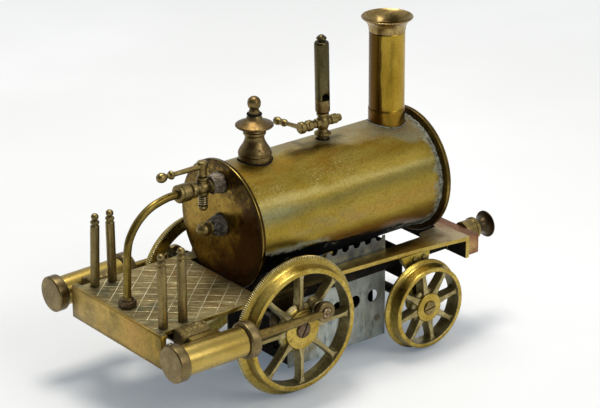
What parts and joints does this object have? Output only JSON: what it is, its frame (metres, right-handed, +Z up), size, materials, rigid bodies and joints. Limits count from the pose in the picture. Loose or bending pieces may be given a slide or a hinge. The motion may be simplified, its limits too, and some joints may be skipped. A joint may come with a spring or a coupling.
{
  "type": "model steam locomotive",
  "caption": "Small brass live steam locomotive with a plain boiler on an open frame, spoked wheels, oscillating cylinders, chimney, whistle, safety valve and sprung buffers.",
  "frame": {"origin": "on the ground plane, on the centre plane, below the middle of the overall length", "axes": "+X towards the chimney end, +Y towards the left side, +Z up"},
  "size_m": [0.213, 0.116, 0.1602],
  "materials": {
    "brass_aged": "aged drawn brass with a yellow-olive tone and brown tarnish",
    "brass_bright": "turned brass, rubbed bright on the edges",
    "bronze_dark": "turned brass, dulled to grey-brown",
    "deck_brass": "cast brass with grey-green dirt and scribed lines",
    "plate_tarnish": "heat-browned brass",
    "beam_red_brass": "reddish brown brass",
    "sheet_zinc": "dull zinc-coated sheet with stains",
    "soot_black": "matt soot",
    "screw_steel": "browned steel"
  },
  "bodies": {
    "chassis": {"frame": "deck_brass", "buffer_beam": "beam_red_brass", "boiler_barrel": "brass_aged", "boiler_rear_plate": "plate_tarnish", "boiler_front_plate": "brass_aged", "chimney_tube": "brass_aged", "chimney_cap": "bronze_dark", "safety_valve_body": "bronze_dark", "whistle_cock_body": "bronze_dark", "whistle_tube": "bronze_dark", "whistle_finial": "bronze_dark", "stopcock_body": "bronze_dark", "union_nut": "bronze_dark", "level_plug": "bronze_dark", "steam_pipe": "brass_aged", "pipe_base_nut": "screw_steel", "steam_manifold": "brass_aged", "post_right_rear": "bronze_dark", "post_right_front": "bronze_dark", "post_left_front": "bronze_dark", "post_left_rear": "bronze_dark", "port_block_left": "deck_brass", "port_block_right": "deck_brass", "drive_hornblock_left": "deck_brass", "drive_hornblock_right": "deck_brass", "front_hornblock_left": "brass_aged", "front_hornblock_right": "brass_aged", "front_stretcher": "soot_black", "firebox_side_left": "sheet_zinc", "firebox_side_right": "sheet_zinc", "firebox_rear": "soot_black", "spirit_burner": "screw_steel", "buffer_stock_left": "bronze_dark", "buffer_stock_right": "bronze_dark"},
    "drive_wheelset": {"drive_axle": "screw_steel", "drive_wheel_left": "brass_bright", "drive_wheel_right": "brass_bright", "crank_pin_left": "screw_steel", "crank_pin_right": "screw_steel"},
    "front_wheelset": {"front_axle": "screw_steel", "front_wheel_left": "brass_bright", "front_wheel_right": "brass_bright"},
    "cylinder_right": {"cylinder_barrel_right": "brass_aged", "cylinder_rear_cap_right": "bronze_dark", "cylinder_front_cap_right": "bronze_dark", "trunnion_right": "screw_steel"},
    "cylinder_left": {"cylinder_barrel_left": "brass_aged", "cylinder_rear_cap_left": "bronze_dark", "cylinder_front_cap_left": "bronze_dark", "trunnion_left": "screw_steel"},
    "piston_right": {"piston_rod_right": "brass_aged", "crank_screw_right": "screw_steel"},
    "piston_left": {"piston_rod_left": "brass_aged", "crank_screw_left": "screw_steel"},
    "stopcock_handle": {"stopcock_lever": "bronze_dark", "stopcock_spring": "screw_steel"},
    "whistle_handle": {"whistle_lever": "bronze_dark"},
    "valve_top": {"safety_valve_top": "bronze_dark"},
    "buffer_right": {"buffer_head_right": "bronze_dark"},
    "buffer_left": {"buffer_head_left": "bronze_dark"}
  },
  "joints": [
    {"name": "drive_axle_spin", "type": "hinge", "parent": "chassis", "child": "drive_wheelset", "pos_m": [-0.02643, 0, 0.03479], "axis": [0, 1, 0], "continuous": true},
    {"name": "front_axle_spin", "type": "hinge", "parent": "chassis", "child": "front_wheelset", "pos_m": [0.05238, 0, 0.02301], "axis": [0, 1, 0], "continuous": true},
    {"name": "cylinder_right_swing", "type": "hinge", "parent": "chassis", "child": "cylinder_right", "pos_m": [-0.08343, -0.0492, 0.0435], "axis": [0, 1, 0], "range_deg": [-4.39, 20.71]},
    {"name": "piston_right_slide", "type": "slide", "parent": "cylinder_right", "child": "piston_right", "axis": [1, 0, -0.0092], "range_m": [-0.02143, 0.00363]},
    {"name": "cylinder_left_swing", "type": "hinge", "parent": "chassis", "child": "cylinder_left", "pos_m": [-0.08343, 0.0492, 0.0435], "axis": [0, 1, 0], "range_deg": [-2.86, 22.24]},
    {"name": "piston_left_slide", "type": "slide", "parent": "cylinder_left", "child": "piston_left", "axis": [0.9998, 0, 0.0174], "range_m": [-0.00378, 0.02128]},
    {"name": "stopcock_turn", "type": "hinge", "parent": "chassis", "child": "stopcock_handle", "pos_m": [-0.05093, 0, 0.1102], "axis": [0, 0, 1], "range_deg": [0, 90]},
    {"name": "whistle_lever_turn", "type": "hinge", "parent": "chassis", "child": "whistle_handle", "pos_m": [0.02113, 0, 0.115], "axis": [1, 0, 0], "range_deg": [0, 90]},
    {"name": "safety_valve_lift", "type": "slide", "parent": "chassis", "child": "valve_top", "axis": [0, 0, 1], "range_m": [0, 0.0015], "stiffness_N_per_m": 150},
    {"name": "buffer_right_push", "type": "slide", "parent": "chassis", "child": "buffer_right", "axis": [-1, 0, 0], "range_m": [0, 0.003], "stiffness_N_per_m": 300},
    {"name": "buffer_left_push", "type": "slide", "parent": "chassis", "child": "buffer_left", "axis": [-1, 0, 0], "range_m": [0, 0.003], "stiffness_N_per_m": 300}
  ]
}
